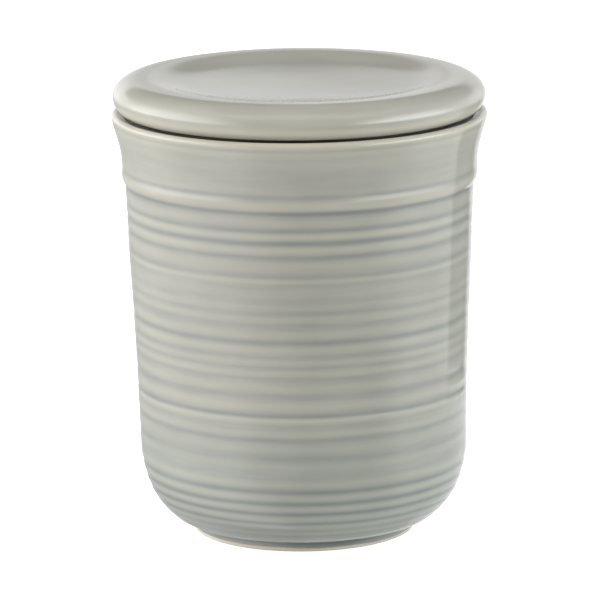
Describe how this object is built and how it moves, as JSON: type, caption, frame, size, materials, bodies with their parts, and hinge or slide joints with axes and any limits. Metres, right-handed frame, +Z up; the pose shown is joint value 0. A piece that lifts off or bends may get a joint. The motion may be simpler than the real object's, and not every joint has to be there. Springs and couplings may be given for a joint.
{
  "type": "food storage canister",
  "caption": "Round glazed stoneware canister with a ribbed wall, flared rim and foot ring, closed by a lift-off dished lid with a silicone seal.",
  "frame": {"origin": "centre of the foot ring, on the surface that the canister stands on", "axes": "+Z up along the jar's axis, towards the lid; X and Y are free, because the object is round"},
  "size_m": [0.13, 0.13, 0.1595],
  "materials": {
    "jar_glaze": "glossy sage-grey glaze, thicker and bluer in the grooves, with a bare bisque edge under the foot",
    "lid_glaze": "glossy sage-grey glaze",
    "seal_silicone": "matt charcoal silicone"
  },
  "bodies": {
    "canister": {"canister": "jar_glaze"},
    "lid": {"lid": "lid_glaze", "lid_seal": "seal_silicone"}
  },
  "joints": [
    {"name": "lid_lift", "type": "slide", "parent": "canister", "child": "lid", "axis": [0, 0, 1], "range_m": [0, 0.1]}
  ]
}
